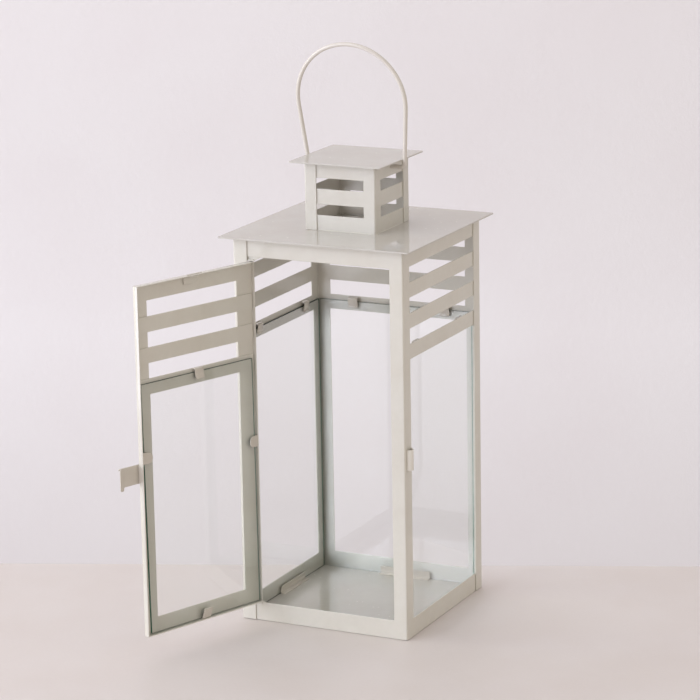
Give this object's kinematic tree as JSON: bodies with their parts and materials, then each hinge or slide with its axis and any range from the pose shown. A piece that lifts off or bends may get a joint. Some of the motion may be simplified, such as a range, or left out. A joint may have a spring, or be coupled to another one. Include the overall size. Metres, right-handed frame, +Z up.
{
  "type": "candle lantern",
  "caption": "Tall square sheet-steel candle lantern with glass sides, a hinged glazed side door, a slatted top, a small square chimney and a swinging wire bail.",
  "frame": {"origin": "middle of the square that the body stands on, on the table", "axes": "+Z up; -Y towards the doorway; +X towards the wall with the latch keeper, to the right of someone who looks at the doorway"},
  "size_m": [0.1853, 0.2712, 0.4435],
  "materials": {
    "body_sheet": "satin off-white powder coat on sheet steel",
    "door_sheet": "satin off-white powder coat on sheet steel",
    "fittings": "satin off-white powder coat on thin steel strip",
    "bail_wire": "satin off-white powder coat on round steel wire",
    "pin_steel": "plain steel",
    "glass": "clear float glass with green edges"
  },
  "bodies": {
    "body": {"shell_front_right": "body_sheet", "shell_back_left": "body_sheet", "floor_plate": "body_sheet", "roof_plate": "body_sheet", "chimney_front_right": "body_sheet", "chimney_back_left": "body_sheet", "cap_plate": "body_sheet", "glass_left": "glass", "glass_back": "glass", "glass_right": "glass", "clips_left": "fittings", "clips_back": "fittings", "clips_right": "fittings", "bracket_left": "fittings", "bracket_back": "fittings", "bracket_right": "fittings", "hinge_bracket_top": "body_sheet", "hinge_bracket_bottom": "body_sheet", "latch_keeper": "fittings"},
    "door": {"door_pan": "door_sheet", "door_slat_high": "door_sheet", "door_slat_middle": "door_sheet", "door_slat_low": "door_sheet", "door_glass": "glass", "door_clip_top": "fittings", "door_clip_bottom": "fittings", "door_clip_hinge_side": "fittings", "door_clip_free_side": "fittings", "latch_plate": "fittings", "hinge_pin_top": "pin_steel", "hinge_pin_bottom": "pin_steel"},
    "bail": {"bail_handle": "bail_wire"}
  },
  "joints": [
    {"name": "door_swing", "type": "hinge", "parent": "body", "child": "door", "pos_m": [-0.0561, -0.06915, 0.149], "axis": [0, 0, 1], "range_deg": [-2, 110.6]},
    {"name": "bail_swing", "type": "hinge", "parent": "body", "child": "bail", "pos_m": [0, 0, 0.349], "axis": [1, 0, 0], "range_deg": [-118, 102]}
  ]
}
